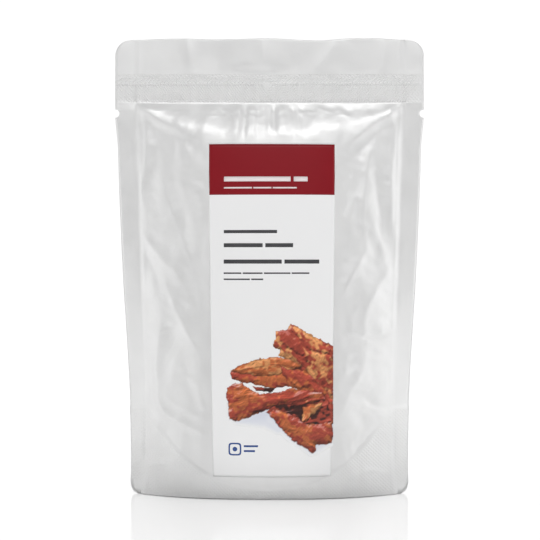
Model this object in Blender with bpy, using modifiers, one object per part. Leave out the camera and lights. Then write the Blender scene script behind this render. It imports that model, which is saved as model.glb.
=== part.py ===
# A filled, heat-sealed stand-up pouch: two film panels, a folded bottom gusset, a paper label
# and the powder inside. It stands on z = 0 with its front towards -Y; all sizes are in metres.
import math

import bmesh
import bpy
from mathutils import Matrix, Vector

WEB_WIDTH = 0.150  # the flat film, side seals included
POUCH_HEIGHT = 0.2205
SEAL_WIDTH = 0.010  # side seals
GUSSET_DEPTH = 0.042  # from the bottom edge up to the gusset's fold
FILM = 0.0002
PLY_GAP = 0.0003  # between two films that lie on each other
BAG_TOP = 0.190  # underside of the top seal
BAND_TOP = 0.2046  # top of the top seal, with the open header above it
HEADER_OPENING = 0.0008  # how far each film of the header stands off the middle
TOP_CORNER_RADIUS = 0.008
FOOT_CORNER_RADIUS = 0.007
RIM_HEIGHT = 0.002  # the lowest stretch of the skirt hangs plumb
SEAL_TURN = math.radians(44)  # how far the side seals turn back at the foot
NOTCH_RADIUS = 0.002
NOTCH_HEIGHT = 0.185

# Half the filled bag's thickness at its middle, against height, before the shoulder cuts it off.
BELLY = (
    (0.000, 0.0176),
    (0.006, 0.0196),
    (0.013, 0.0208),
    (0.043, 0.0213),
    (0.109, 0.0158),
    (0.150, 0.0118),
    (0.172, 0.0098),
    (0.190, 0.0086),
)
BELLY_POWER = 2.5  # across the bag: 2 is an arc, more is flatter in the middle
ROOF_SLOPE = 0.60  # how steeply the shoulder falls back to the top seal
ROOF_BLEND = 7  # how crisply shoulder and belly meet
SHOULDER = 0.172
SHOULDER_DRAW = 0.022  # height over which the side seals stop drawing in
SEAL_DRAW = 0.75  # how strongly the side seals draw in as the panels belly out

SKIRT_SEAL_LOW = 0.005  # height of the gusset's seal at the middle of the skirt
SKIRT_SEAL_POWER = 2.3  # how late its arc climbs to the side seals
STEP_START = 0.003  # the panels stay apart this far above the gusset's seal
STEP_RUN = 0.008  # height over which they then come back together
LEG_STEPS = 7  # faces up a leg of the gusset, the lowest as high as the rim

LABEL_TOP = 0.1697
LABEL_FOOT = 0.0114
LABEL_TOP_WIDTH = 0.0614
LABEL_FOOT_WIDTH = 0.0558
LABEL_OFFSET = 0.0012  # to the right of the pouch's middle
LABEL_THICKNESS = 0.0002

POWDER_TOP = 0.130
POWDER_CROWN = 0.004
POWDER_INSET = 0.0003  # inside the middle of the film's own surface
POWDER_LIFT = 0.0008  # above the gusset's film
POWDER_SHARE = 0.92  # of the bag's half width

PITCH = FILM + PLY_GAP
BAG_REACH = 1.0  # the across value at a side seal's inner line
EDGE_REACH = 2.0  # the across value at the outer edge


def curve_through(points, place):
    """A smooth curve through (place, value) points."""
    place = min(max(place, points[0][0]), points[-1][0])
    last = len(points) - 2
    i = min(sum(1 for p in points[1:] if p[0] < place), last)
    before, start, end, after = (points[max(i - 1, 0)], points[i], points[i + 1], points[min(i + 2, last + 1)])
    run = end[0] - start[0]
    leave = (end[1] - before[1]) / (end[0] - before[0]) * run
    arrive = (after[1] - start[1]) / (after[0] - start[0]) * run
    t = (place - start[0]) / run
    curve = (2 * t**3 - 3 * t**2 + 1) * start[1] + (t**3 - 2 * t**2 + t) * leave
    return curve + (3 * t**2 - 2 * t**3) * end[1] + (t**3 - t**2) * arrive


def ease(t):
    t = min(max(t, 0), 1)
    return t * t * (3 - 2 * t)


def belly(height):
    return curve_through(BELLY, max(height, RIM_HEIGHT))


def bag_half(height):
    """Half the distance between the side seals."""
    flat = WEB_WIDTH / 2 - SEAL_WIDTH
    thick = belly(height) * ease((BAG_TOP - height) / SHOULDER_DRAW)
    return flat - SEAL_DRAW * thick**2 / flat


def bag_depth(across, height):
    """How far each panel stands off the bag's middle plane."""
    if abs(across) >= BAG_REACH or height >= BAG_TOP:
        return 0.0
    wall = belly(height) * (1 - abs(across) ** BELLY_POWER)
    roof = ROOF_SLOPE * (BAG_TOP - height)
    return wall * roof / (wall**ROOF_BLEND + roof**ROOF_BLEND) ** (1 / ROOF_BLEND)


def corner_cut(height):
    """What a rounded corner takes off a side seal's width."""
    if height < FOOT_CORNER_RADIUS:
        radius = FOOT_CORNER_RADIUS
        rise = radius - height
    else:
        radius = TOP_CORNER_RADIUS
        rise = max(height - (POUCH_HEIGHT - radius), 0)
    return radius - math.sqrt(max(radius**2 - rise**2, 0))


def middle_point(across, height, side):
    """The pouch's form, before the plies are set off from each other.

    across runs from -2 at the left edge over -1 and 1 at the side seals to 2 at the right edge.
    """
    half = bag_half(height)
    if abs(across) <= BAG_REACH:
        depth = bag_depth(across, height)
        opening = HEADER_OPENING * ease((height - BAND_TOP) / (POUCH_HEIGHT - BAND_TOP))
        return Vector((across * half, side * (depth + opening * (1 - across**2)), height))
    along = (abs(across) - BAG_REACH) * (SEAL_WIDTH - corner_cut(height))
    turn = SEAL_TURN * max(1 - max(height, RIM_HEIGHT) / BAG_TOP, 0)
    x = half + along * math.cos(turn)
    return Vector((math.copysign(x, across), along * math.sin(turn), height))


def outward(across, height, side):
    """The direction square to the pouch's form, away from its inside."""
    step = 0.0001
    left = middle_point(max(across - 0.01, -EDGE_REACH), height, side)
    right = middle_point(min(across + 0.01, EDGE_REACH), height, side)
    below = middle_point(across, max(height - step, 0), side)
    above = middle_point(across, min(height + step, POUCH_HEIGHT), side)
    direction = (right - left).cross(above - below).normalized()
    return direction if direction.y * side > 0 else -direction


def outward_step(across, height, side):
    """The step from one ply to the next, mitred on the line where bag and seal meet at an angle."""
    if abs(abs(across) - BAG_REACH) > 0.01:
        return outward(across, height, side) * PITCH
    on_bag = outward(across * 0.98, height, side)
    on_seal = outward(across * 1.05, height, side)
    between = (on_bag + on_seal).normalized()
    return between / between.dot(on_bag) * PITCH


def ply_point(across, height, side, plies):
    """A point on a film that lies this many plies out from the middle."""
    return middle_point(across, height, side) + outward_step(across, height, side) * plies


def sealed_height(across):
    """How far up a skirt the gusset is sealed to it."""
    share = min(abs(across), BAG_REACH) ** SKIRT_SEAL_POWER
    return SKIRT_SEAL_LOW + (GUSSET_DEPTH - SKIRT_SEAL_LOW) * share


def panel_plies(across, height):
    """A panel is the outer ply of two at the gusset and the only one above it."""
    above_seal = height - sealed_height(across) - STEP_START
    return 0.5 + 1 - ease(above_seal / STEP_RUN)


def spans(*stretches):
    """Values over stretches given as (start, end, how many steps)."""
    values = [stretches[0][0]]
    for start, end, steps in stretches:
        values += [start + (end - start) * (i + 1) / steps for i in range(steps)]
    return values


def across_columns():
    return [-EDGE_REACH, *spans((-BAG_REACH, BAG_REACH, 16)), EDGE_REACH]


def panel_rows():
    step_low = GUSSET_DEPTH + STEP_START
    step_high = step_low + STEP_RUN
    corner = POUCH_HEIGHT - TOP_CORNER_RADIUS
    return spans(
        (0, RIM_HEIGHT, 1),
        (RIM_HEIGHT, FOOT_CORNER_RADIUS, 3),
        (FOOT_CORNER_RADIUS, step_low, 5),
        (step_low, step_high, 2),
        (step_high, SHOULDER, 12),
        (SHOULDER, BAG_TOP, 5),
        (BAG_TOP, BAND_TOP, 2),
        (BAND_TOP, corner, 1),
        (corner, POUCH_HEIGHT, 4),
    )


def paint(piece, colour, roughness):
    material = bpy.data.materials.new(piece.name)
    material.use_nodes = True
    shader = material.node_tree.nodes["Principled BSDF"]
    shader.inputs["Base Color"].default_value = (*colour, 1)
    shader.inputs["Roughness"].default_value = roughness
    shader.inputs["Metallic"].default_value = 0.0
    piece.data.materials.append(material)


def grid_mesh(columns, rows, place):
    """A grid whose vertices lie at place(column, row)."""
    mesh = bmesh.new()
    bmesh.ops.create_grid(mesh, x_segments=len(columns) - 1, y_segments=len(rows) - 1, size=1)
    for vert in mesh.verts:
        i = round((vert.co.x + 1) / 2 * (len(columns) - 1))
        j = round((vert.co.y + 1) / 2 * (len(rows) - 1))
        vert.co = place(columns[i], rows[j])
    return mesh


def add_piece(name, mesh, collection):
    data = bpy.data.meshes.new(name)
    mesh.to_mesh(data)
    mesh.free()
    piece = bpy.data.objects.new(name, data)
    collection.objects.link(piece)
    return piece


def thicken(piece, thickness):
    solidify = piece.modifiers.new("thickness", "SOLIDIFY")
    solidify.thickness = thickness
    solidify.offset = 0
    solidify.use_even_offset = True


def build_panel(name, side, collection):
    mesh = grid_mesh(
        across_columns(),
        panel_rows(),
        lambda across, height: ply_point(across, height, side, panel_plies(across, height)),
    )
    panel = add_piece(name, mesh, collection)
    thicken(panel, FILM)
    paint(panel, (0.86, 0.86, 0.85), 0.35)
    return panel


def arch_rise(across):
    """How far the free web rises above its seals, so that it keeps its length from skirt to skirt."""
    free = GUSSET_DEPTH - sealed_height(across)
    half_span = ply_point(across, sealed_height(across), 1, 0.5).y if abs(across) < BAG_REACH else 0
    return math.sqrt(max(8 / math.pi**2 * free**2 - half_span**2, (PITCH / 2) ** 2))


def gusset_point(across, along):
    """along runs 0 to 1 up the front leg, 1 to 2 over the arch and 2 to 3 down the back leg."""
    top = sealed_height(across)
    if along <= 1 or along >= 2:
        side = -1 if along <= 1 else 1
        step = (along if along <= 1 else 3 - along) * LEG_STEPS
        height = min(step, 1) * RIM_HEIGHT + max(step - 1, 0) / (LEG_STEPS - 1) * (top - RIM_HEIGHT)
        return ply_point(across, height, side, 0.5)
    front = ply_point(across, top, -1, 0.5)
    back = ply_point(across, top, 1, 0.5)
    angle = (along - 1) * math.pi
    lift = Vector((0, 0, arch_rise(across) * math.sin(angle)))
    return (front + back) / 2 - (back - front) / 2 * math.cos(angle) + lift


def build_gusset(collection):
    stations = spans((0, 1, LEG_STEPS), (1, 2, 12), (2, 3, LEG_STEPS))
    gusset = add_piece("bottom_gusset", grid_mesh(across_columns(), stations, gusset_point), collection)
    thicken(gusset, FILM)
    paint(gusset, (0.82, 0.82, 0.81), 0.4)


def label_point(share, height):
    """share runs from -1 to 1 over the label's width."""
    up = (height - LABEL_FOOT) / (LABEL_TOP - LABEL_FOOT)
    width = LABEL_FOOT_WIDTH + (LABEL_TOP_WIDTH - LABEL_FOOT_WIDTH) * up
    across = (LABEL_OFFSET + share * width / 2) / bag_half(height)
    return ply_point(across, height, -1, panel_plies(across, height) + 1)


def build_label(collection):
    rows = [LABEL_FOOT] + [h for h in panel_rows() if LABEL_FOOT < h < LABEL_TOP] + [LABEL_TOP]
    label = add_piece("front_label", grid_mesh(spans((-1, 1, 8)), rows, label_point), collection)
    thicken(label, LABEL_THICKNESS)
    paint(label, (0.9, 0.89, 0.88), 0.5)


def powder_half(across, height):
    return max(bag_depth(across, height) - POWDER_INSET, 0)


def powder_foot(across, half_span, rise):
    """The angle on the arch at which the powder's wall comes down onto it."""
    low, high = 0, math.pi / 2
    for _ in range(30):
        angle = (low + high) / 2
        height = sealed_height(across) + rise * math.sin(angle)
        if half_span * math.cos(angle) > powder_half(across, height):
            low = angle
        else:
            high = angle
    return high


def powder_point(along, across):
    """along runs 0 to 1 over the arch, 1 to 2 up the back, 2 to 3 over the top and 3 to 4 down the front."""
    half_span = ply_point(across, sealed_height(across), 1, 0.5).y + POWDER_LIFT
    rise = arch_rise(across) + POWDER_LIFT
    foot = powder_foot(across, half_span, rise)
    low = sealed_height(across) + rise * math.sin(foot)
    if along <= 1:
        angle = foot + (math.pi - 2 * foot) * along
        y = -half_span * math.cos(angle)
        height = sealed_height(across) + rise * math.sin(angle)
    elif 2 <= along <= 3:
        y = powder_half(across, POWDER_TOP) * (5 - 2 * along)
        height = POWDER_TOP + POWDER_CROWN * (1 - (5 - 2 * along) ** 2) * (1 - across**2)
    else:
        share = along - 1 if along < 2 else 4 - along
        height = low + (POWDER_TOP - low) * share
        y = powder_half(across, height) * (1 if along < 2 else -1)
    return Vector((across * bag_half(height), y, height))


def build_powder(collection):
    stations = spans((0, 1, 8), (1, 2, 9), (2, 3, 6), (3, 4, 9))
    columns = spans((-POWDER_SHARE, POWDER_SHARE, 14))
    mesh = grid_mesh(stations, columns, powder_point)
    bmesh.ops.remove_doubles(mesh, verts=mesh.verts, dist=0.00001)
    bmesh.ops.holes_fill(mesh, edges=mesh.edges)
    bmesh.ops.recalc_face_normals(mesh, faces=mesh.faces)
    powder = add_piece("powder_fill", mesh, collection)
    paint(powder, (0.33, 0.19, 0.10), 0.9)


def notch_cutter(side, collection):
    mesh = bmesh.new()
    bmesh.ops.create_cone(
        mesh, cap_ends=True, segments=20, radius1=NOTCH_RADIUS, radius2=NOTCH_RADIUS, depth=0.01
    )
    bmesh.ops.rotate(mesh, verts=mesh.verts, matrix=Matrix.Rotation(math.pi / 2, 3, "X"))
    cutter = add_piece("notch_cutter_right" if side > 0 else "notch_cutter_left", mesh, collection)
    cutter.location = middle_point(side * EDGE_REACH, NOTCH_HEIGHT, 1)
    cutter.hide_render = True
    cutter.display_type = "WIRE"
    return cutter


def cut(piece, cutter):
    boolean = piece.modifiers.new("tear notch", "BOOLEAN")
    boolean.operation = "DIFFERENCE"
    boolean.object = cutter


def main():
    for item in list(bpy.data.objects):
        bpy.data.objects.remove(item)
    pouch = bpy.data.collections.new("stand_up_pouch")
    cutters = bpy.data.collections.new("cutters")
    for collection in (pouch, cutters):
        bpy.context.scene.collection.children.link(collection)
    notches = [notch_cutter(side, cutters) for side in (-1, 1)]
    for name, side in (("front_panel", -1), ("back_panel", 1)):
        panel = build_panel(name, side, pouch)
        for notch in notches:
            cut(panel, notch)
    build_gusset(pouch)
    build_label(pouch)
    build_powder(pouch)


main()
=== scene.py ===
import math

import bmesh
import bpy
import numpy as np
from mathutils import Matrix, Vector


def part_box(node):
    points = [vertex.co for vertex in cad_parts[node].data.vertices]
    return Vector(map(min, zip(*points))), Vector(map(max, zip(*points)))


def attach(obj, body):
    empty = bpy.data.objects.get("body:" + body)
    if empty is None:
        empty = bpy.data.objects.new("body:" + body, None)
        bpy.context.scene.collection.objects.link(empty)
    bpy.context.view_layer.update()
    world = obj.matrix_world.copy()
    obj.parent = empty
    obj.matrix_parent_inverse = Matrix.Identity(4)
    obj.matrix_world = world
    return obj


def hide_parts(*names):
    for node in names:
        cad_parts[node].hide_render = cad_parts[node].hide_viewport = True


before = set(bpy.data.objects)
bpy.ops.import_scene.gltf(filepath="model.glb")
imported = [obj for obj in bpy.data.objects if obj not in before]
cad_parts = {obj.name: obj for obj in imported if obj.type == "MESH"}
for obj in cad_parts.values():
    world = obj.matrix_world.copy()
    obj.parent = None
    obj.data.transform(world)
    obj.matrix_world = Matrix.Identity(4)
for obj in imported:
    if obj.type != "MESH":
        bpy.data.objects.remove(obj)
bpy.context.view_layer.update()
panelLow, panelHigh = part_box("front_panel")
labelLow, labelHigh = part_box("front_label")

mm = 0.001  # everything below is worked out in millimetres and scaled at the very end

# The filled bag. "across" (a) runs from -2 to -1 over the left side seal, to 1 over the bag
# and to 2 over the right side seal.
pouch = {
    "height": panelHigh.z / mm,
    "halfWidth": panelHigh.x / mm,
    "sealWidth": 10.0,
    "sealDraw": 0.75,  # how far the side seals pull in where the bag is thick
    "sealTurn": 44.0,  # degrees the side seals turn back at the foot
    "bagTop": 190.0,
    "bandTop": 204.6,
    "pressLines": (190.2, 199.5, 204.4),  # left across the top seal by the sealing bars
    "gussetFold": 42.0,
    "gussetLow": 5.0,  # height of the gusset's seal in the middle of the skirt
    "gussetPower": 2.3,
    "topCorner": 8.0,
    "footCorner": 7.0,
    "notchRadius": 2.0,
    "notchHeight": 185.0,
    "belly": [
        (0, 17.3), (4, 19.0), (9, 20.4), (16, 21.0), (43, 21.3),
        (109, 15.8), (150, 11.8), (172, 9.8), (190, 8.6),
    ],
    "bellyPower": 2.5,  # 2 is an arc, more is flatter in the middle
    "roofSlope": 0.60,  # how steeply the shoulder falls back to the top seal
    "roofBlend": 7.0,  # higher is crisper
    "film": 0.16,
    "ply": 0.22,
    "headerGap": 0.8,
}


# ---- small maths helpers
def ease(t):
    t = np.clip(t, 0, 1)
    return t * t * (3 - 2 * t)


def smoothCurve(points, at):
    # a smooth line through (place, value) points
    px = np.array([p[0] for p in points], float)
    py = np.array([p[1] for p in points], float)
    slope = np.gradient(py, px)
    at = np.clip(at, px[0], px[-1])
    i = np.clip(np.searchsorted(px, at, side="right") - 1, 0, len(px) - 2)
    run = px[i + 1] - px[i]
    t = (at - px[i]) / run
    return (
        (2 * t**3 - 3 * t**2 + 1) * py[i]
        + (t**3 - 2 * t**2 + t) * run * slope[i]
        + (3 * t**2 - 2 * t**3) * py[i + 1]
        + (t**3 - t**2) * run * slope[i + 1]
    )


def softNoise(x, z, size, seed):
    # smooth noise from -1 to 1 with lumps about as wide as size
    table = np.random.default_rng(seed).uniform(-1, 1, (97, 97))
    u, v = np.asarray(x) / size + 40.0, np.asarray(z) / size + 40.0
    iu, iv = np.floor(u).astype(int), np.floor(v).astype(int)
    fu, fv = ease(u - iu), ease(v - iv)
    low = table[iu % 97, iv % 97] * (1 - fu) + table[(iu + 1) % 97, iv % 97] * fu
    high = table[iu % 97, (iv + 1) % 97] * (1 - fu) + table[(iu + 1) % 97, (iv + 1) % 97] * fu
    return low * (1 - fv) + high * fv


def smoothPath(points, steps=6):
    # the same route with rounded corners
    p = np.array([points[0], *points, points[-1]], float)
    out = []
    for i in range(1, len(p) - 2):
        for t in np.linspace(0, 1, steps, endpoint=False):
            a, b, c, d = p[i - 1], p[i], p[i + 1], p[i + 2]
            square, cube = 2 * a - 5 * b + 4 * c - d, 3 * b - a - 3 * c + d
            out.append(0.5 * (2 * b + (c - a) * t + square * t**2 + cube * t**3))
    out.append(p[-2])
    return np.array(out)


def nearPath(x, z, path):
    # signed distance to a route (positive on its left) and how far along it, 0 to 1
    best = np.full(np.shape(x), 1e9)
    signed = np.full(np.shape(x), 1e9)
    share = np.zeros(np.shape(x))
    runs = np.hypot(*np.diff(path, axis=0).T)
    done, total = 0.0, runs.sum()
    for (ax, az), (bx, bz), run in zip(path[:-1], path[1:], runs):
        dx, dz = (bx - ax) / run, (bz - az) / run
        t = np.clip((x - ax) * dx + (z - az) * dz, 0, run)
        ox, oz = x - ax - dx * t, z - az - dz * t
        away = np.hypot(ox, oz)
        closer = away < best
        best = np.where(closer, away, best)
        signed = np.where(closer, np.where(dx * oz - dz * ox > 0, away, -away), signed)
        share = np.where(closer, (done + t) / total, share)
        done += run
    return signed, share


# ---- the bag's own form
def belly(z):
    return smoothCurve(pouch["belly"], z)


def bagHalf(z):
    flat = pouch["halfWidth"] - pouch["sealWidth"]
    thick = np.where(z < pouch["bagTop"], belly(z) * ease((pouch["bagTop"] - z) / 22), 0)
    return flat - pouch["sealDraw"] * thick**2 / flat


def cornerCut(z):
    foot, top = pouch["footCorner"], pouch["topCorner"]
    atFoot = foot - np.sqrt(np.clip(foot**2 - np.clip(foot - z, 0, None) ** 2, 0, None))
    over = np.clip(z - (pouch["height"] - top), 0, top)
    return atFoot + top - np.sqrt(top**2 - over**2)


def notchCut(z):
    return np.sqrt(np.clip(pouch["notchRadius"] ** 2 - (z - pouch["notchHeight"]) ** 2, 0, None))


def bagDepth(a, z):
    wall = belly(z) * np.clip(1 - np.abs(a) ** pouch["bellyPower"], 0, None)
    roof = pouch["roofSlope"] * np.clip(pouch["bagTop"] - z, 0, None)
    n = pouch["roofBlend"]
    return wall * roof / np.maximum((wall**n + roof**n) ** (1 / n), 1e-6)


def headerOpening(a, z):
    # how far each film of the header stands off the middle
    rise = np.clip((z - pouch["bandTop"]) / 15, 0, 1)
    return pouch["headerGap"] * rise * np.clip(1 - np.abs(a) ** 4, 0, None)


def formPoint(a, z, side):
    a, z = np.broadcast_arrays(np.asarray(a, float), np.asarray(z, float))
    half = bagHalf(z)
    inBag = np.abs(a) <= 1
    width = pouch["sealWidth"] - cornerCut(z) - notchCut(z)
    along = (np.clip(np.abs(a), 1, 2) - 1) * width
    turn = np.radians(pouch["sealTurn"]) * np.clip(1 - z / pouch["bagTop"], 0, 1)
    gap = headerOpening(a, z)
    x = np.where(inBag, a * half, np.sign(a) * (half + along * np.cos(turn)))
    y = np.where(inBag, side * (bagDepth(a, z) + gap), along * np.sin(turn))
    return np.stack([x, y, z], -1)


def formNormal(a, z, side):
    step = 0.004
    right, left = formPoint(np.clip(a + step, -2, 2), z, side), formPoint(np.clip(a - step, -2, 2), z, side)
    above, below = formPoint(a, z + 0.15, side), formPoint(a, z - 0.15, side)
    n = np.cross(right - left, above - below)
    n /= np.maximum(np.linalg.norm(n, axis=-1, keepdims=True), 1e-9)
    return n * np.where(n[..., 1:2] * side > 0, 1, -1)


def sealedHeight(a):
    share = np.clip(np.abs(a), 0, 1) ** pouch["gussetPower"]
    return pouch["gussetLow"] + (pouch["gussetFold"] - pouch["gussetLow"]) * share


def pliesOut(a, z):
    # two plies lie under the panel where the gusset is sealed to it
    return 0.5 + 1.15 * (1 - ease((z - sealedHeight(a)) / 1.0))


# ---- creases and dents
# route in (x, height), how proud (minus is a groove), width to the left and right of the route, and how sharp
frontCreases = [
    # from the top corners down over the shoulder
    {"route": [(-66, 190.5), (-58, 185), (-50, 180), (-40, 177)],
     "proud": 0.8, "width": (3, 5), "sharp": 1.1},
    {"route": [(-62, 184), (-52, 176), (-40, 171), (-33, 166)], "proud": -0.9, "width": (4, 6), "sharp": 1.6},
    {"route": [(67, 190), (53, 181.5), (44, 175), (36, 168)], "proud": 0.9, "width": (4, 4), "sharp": 1.1},
    {"route": [(60, 181), (50, 173), (41, 163)], "proud": -0.8, "width": (4, 5), "sharp": 1.6},
    # left of the label
    {"route": [(-64, 190), (-60, 180), (-59.5, 162), (-62, 148), (-60, 136), (-61, 119)],
     "proud": 0.7, "width": (2.5, 3), "sharp": 1.1},
    {"route": [(-51, 166), (-50, 148), (-41, 124), (-35, 108), (-31, 92)],
     "proud": 0.8, "width": (8, 5), "sharp": 1.1},
    {"route": [(-43, 170), (-42, 150), (-37, 132)], "proud": -0.5, "width": (5, 5), "sharp": 1.6},
    {"route": [(-62, 128), (-53, 116), (-44, 108)], "proud": 0.8, "width": (3, 5), "sharp": 1.1},
    {"route": [(-61, 119), (-55, 108), (-52, 95)], "proud": -0.6, "width": (4, 3), "sharp": 1.3},
    {"route": [(-50, 104), (-45, 92), (-40, 81), (-33, 69)], "proud": 0.8, "width": (3.5, 3.5), "sharp": 1.1},
    {"route": [(-51, 88), (-53.7, 66), (-53.2, 49), (-49.5, 40), (-40, 35.5), (-30, 31)],
     "proud": 1.0, "width": (3.5, 3.0), "sharp": 1.3},
    {"route": [(-54, 80), (-49, 82), (-44, 81.7)], "proud": -0.35, "width": (1.0, 1.2), "sharp": 1.1},
    {"route": [(-40, 70), (-39, 56), (-34, 44)], "proud": -0.6, "width": (5, 4), "sharp": 1.6},
    # right of the label
    {"route": [(61, 178), (59, 160), (58.8, 147), (59, 133), (62, 122)],
     "proud": 0.8, "width": (3, 2.2), "sharp": 1.1},
    {"route": [(49.5, 170), (45.5, 148), (45, 131), (47, 118)], "proud": 1.0, "width": (7, 4), "sharp": 1.1},
    {"route": [(53, 168), (52, 150), (54, 132), (52, 118)], "proud": -0.6, "width": (3, 3), "sharp": 1.4},
    {"route": [(47, 119), (39, 107), (33.5, 95)], "proud": 0.9, "width": (5, 5), "sharp": 1.1},
    {"route": [(60, 110), (52, 101), (47, 90), (46, 84)], "proud": 0.6, "width": (5, 4), "sharp": 1.2},
    {"route": [(34.5, 80), (43, 78), (53, 77.3), (62, 80)], "proud": 0.75, "width": (4, 1.1), "sharp": 1.1},
    {"route": [(57.5, 84), (60, 78), (61.5, 71)], "proud": -0.6, "width": (1.3, 1.6), "sharp": 1.1},
    {"route": [(54, 67), (56, 60), (56.5, 51)], "proud": -0.6, "width": (2.6, 2.6), "sharp": 1.8},
    {"route": [(47, 72), (44, 60), (38, 50), (33, 38)], "proud": 0.6, "width": (4, 5), "sharp": 1.2},
    {"route": [(45, 48), (49, 45), (54, 42.5)], "proud": -0.6, "width": (3, 2), "sharp": 1.4},
    # the foot
    {"route": [(-60, 14), (-50, 16), (-42, 13)], "proud": 0.4, "width": (2.5, 3), "sharp": 1.3},
    {"route": [(58, 10), (48, 13), (36, 9)], "proud": 0.4, "width": (3, 3), "sharp": 1.3},
    # the slack header
    {"route": [(-38, 206), (-39, 214), (-40, 222)], "proud": 0.9, "width": (7, 4), "sharp": 1.3},
    {"route": [(-20, 206), (-16, 214), (-14, 222)], "proud": -0.6, "width": (6, 7), "sharp": 1.6},
    {"route": [(-4, 206), (-3, 214), (-4, 222)], "proud": 0.7, "width": (4, 6), "sharp": 1.2},
    {"route": [(22, 206), (27, 212), (34, 222)], "proud": 0.9, "width": (4, 8), "sharp": 1.3},
    {"route": [(54, 205), (56, 212), (55, 222)], "proud": 0.7, "width": (5, 4), "sharp": 1.3},
]
backCreases = [
    {"route": [(66, 190), (56, 183), (44, 175), (30, 170)], "proud": 0.9, "width": (4, 5), "sharp": 1.1},
    {"route": [(-66, 190), (-54, 182), (-45, 173), (-38, 160)], "proud": 0.9, "width": (4, 4), "sharp": 1.1},
    {"route": [(58, 172), (50, 150), (53, 128), (46, 105)], "proud": 0.9, "width": (5, 4), "sharp": 1.1},
    {"route": [(-57, 165), (-49, 142), (-50, 121), (-38, 98), (-30, 92)],
     "proud": 0.9, "width": (5, 5), "sharp": 1.1},
    {"route": [(12, 168), (4, 150), (8, 128), (-2, 112)], "proud": 0.6, "width": (6, 5), "sharp": 1.2},
    {"route": [(57, 88), (42, 80), (28, 83), (14, 76)], "proud": 0.8, "width": (1.6, 4), "sharp": 1.1},
    {"route": [(-58, 74), (-46, 66), (-30, 68)], "proud": 0.8, "width": (4, 1.4), "sharp": 1.1},
    {"route": [(50, 60), (54, 46), (44, 34), (30, 30)], "proud": 0.9, "width": (4, 3), "sharp": 1.2},
    {"route": [(-40, 56), (-26, 44), (-8, 41), (10, 46)], "proud": 0.6, "width": (4, 3), "sharp": 1.2},
    {"route": [(30, 206), (27, 213), (24, 222)], "proud": 0.8, "width": (7, 5), "sharp": 1.3},
    {"route": [(-30, 206), (-33, 213), (-30, 222)], "proud": 0.7, "width": (5, 6), "sharp": 1.3},
]
slack = {
    "swell": 0.5,  # broad unevenness of the filling, which label and film share
    "folds": 0.64,  # long folds beside the label
    "crinkles": 0.20,
    "puckers": 0.30,  # where the film is gathered at its seals
    "topEdge": 0.9,  # how far the header's cut edge strays
    "topLift": 0.8,
    "rimLift": 0.5,
}


def creased(x, z, creases):
    out = np.zeros(np.shape(x))
    for c in creases:
        signed, share = nearPath(x, z, smoothPath(c["route"]))
        left, right = c["width"]
        across = np.abs(signed) / np.where(signed > 0, left, right)
        fade = np.sqrt(np.clip(np.sin(math.pi * np.clip(share, 0.02, 0.98)), 0, 1))
        out += c["proud"] * np.exp(-(across ** c["sharp"]) * 1.6) * fade
    return out


def labelMask(x, z, spread):
    middle = (labelLow.x + labelHigh.x) / 2 / mm
    half = (labelHigh.x - labelLow.x) / 2 / mm - 1.5
    outX = np.clip(np.abs(x - middle) - half, 0, None) / spread
    outZ = np.clip(np.maximum(labelLow.z / mm - z, z - labelHigh.z / mm), 0, None) / spread
    return 1 - ease(np.hypot(outX, outZ))


def ridged(x, z, size, seed):
    return 1 - 2 * np.sqrt(softNoise(x, z, size, seed) ** 2 + 0.004)


def swell(x, z, side):
    seed = 5 if side < 0 else 35
    fade = ease((z - 3) / 25) * ease((pouch["bagTop"] - z) / 25)
    return slack["swell"] * softNoise(x + 0.35 * z, 0.7 * z, 33, seed) * fade


def rumple(a, x, z, seed):
    # long folds that lean outwards, finer crinkles over them, and puckers along the seals
    lean = np.tanh(x / 15) * 0.30
    u, v = x + lean * z, z - lean * x
    folds = 0.6 * softNoise(u, v * 0.30, 9.5, seed) + 0.5 * ridged(u, v * 0.33, 12, seed + 1)
    warp = 2.5 * softNoise(x, z, 12, seed + 6)
    crinkles = ridged(x + warp, z + 0.5 * u + warp, 7, seed + 2)
    crinkles = crinkles + 0.4 * ridged(x - 0.6 * z, z + warp, 3.6, seed + 3)
    fromSeal = (1 - np.abs(a)) * 60
    sides = ridged(z * 1.0, np.sign(x) * 9 + x * 0.12, 7, seed + 4) * np.exp(-fromSeal / 7)
    fromTop = np.clip(pouch["bagTop"] - z, 0, None)
    tops = ridged(x + 0.3 * fromTop, z * 0.35, 11, seed + 5) * np.exp(-fromTop / 13) * ease(fromTop / 5)
    return slack["folds"] * folds + slack["crinkles"] * crinkles + slack["puckers"] * (sides + 0.5 * tops)


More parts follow.
